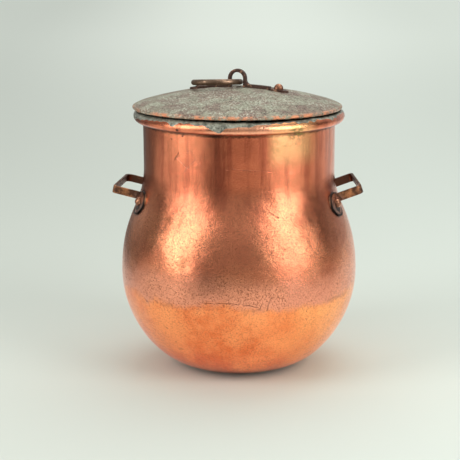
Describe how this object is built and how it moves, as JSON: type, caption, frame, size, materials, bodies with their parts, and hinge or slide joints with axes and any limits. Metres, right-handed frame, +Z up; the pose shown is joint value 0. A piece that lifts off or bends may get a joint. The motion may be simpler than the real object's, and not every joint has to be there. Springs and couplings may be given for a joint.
{
  "type": "lidded copper cooking pot",
  "caption": "Pot-bellied hammered copper cooking pot with a rolled rim, riveted side handles and a loose domed lid that carries a swinging pull ring.",
  "frame": {"origin": "middle of the flat base, on the floor", "axes": "+Z up along the pot's axis; X runs along the two side handles, the right handle at +X; -Y is the front"},
  "size_m": [0.2753, 0.262, 0.33],
  "materials": {
    "copper_upper": "worn, softly polished hammered copper",
    "copper_bottom": "brighter polished copper",
    "iron_wire": "dull, hidden inside the rolled rim",
    "handle_bronze": "dark brown, worn bright on the faces",
    "rivet_copper": "hammered bright copper",
    "lid_copper": "dull grey-brown tarnish with pale green flecks",
    "strap_bronze": "dark brown, worn",
    "ring_bronze": "brown, smooth from handling"
  },
  "bodies": {
    "pot": {"upper_body": "copper_upper", "bottom_bowl": "copper_bottom", "rim_wire": "iron_wire", "right_handle": "handle_bronze", "left_handle": "handle_bronze", "right_front_rivet": "rivet_copper", "right_back_rivet": "rivet_copper", "left_front_rivet": "rivet_copper", "left_back_rivet": "rivet_copper"},
    "lid": {"lid_plate": "lid_copper", "lid_strap": "strap_bronze", "lid_left_rivet": "strap_bronze", "lid_right_rivet": "rivet_copper"},
    "ring": {"pull_ring": "ring_bronze"}
  },
  "joints": [
    {"name": "lid_lift", "type": "slide", "parent": "pot", "child": "lid", "axis": [0, 0, 1], "range_m": [0, 0.15]},
    {"name": "ring_swing", "type": "hinge", "parent": "lid", "child": "ring", "pos_m": [0.00016, 0.00396, 0.31557], "axis": [0.3111, 0.9436, -0.113], "range_deg": [0, 172]}
  ]
}
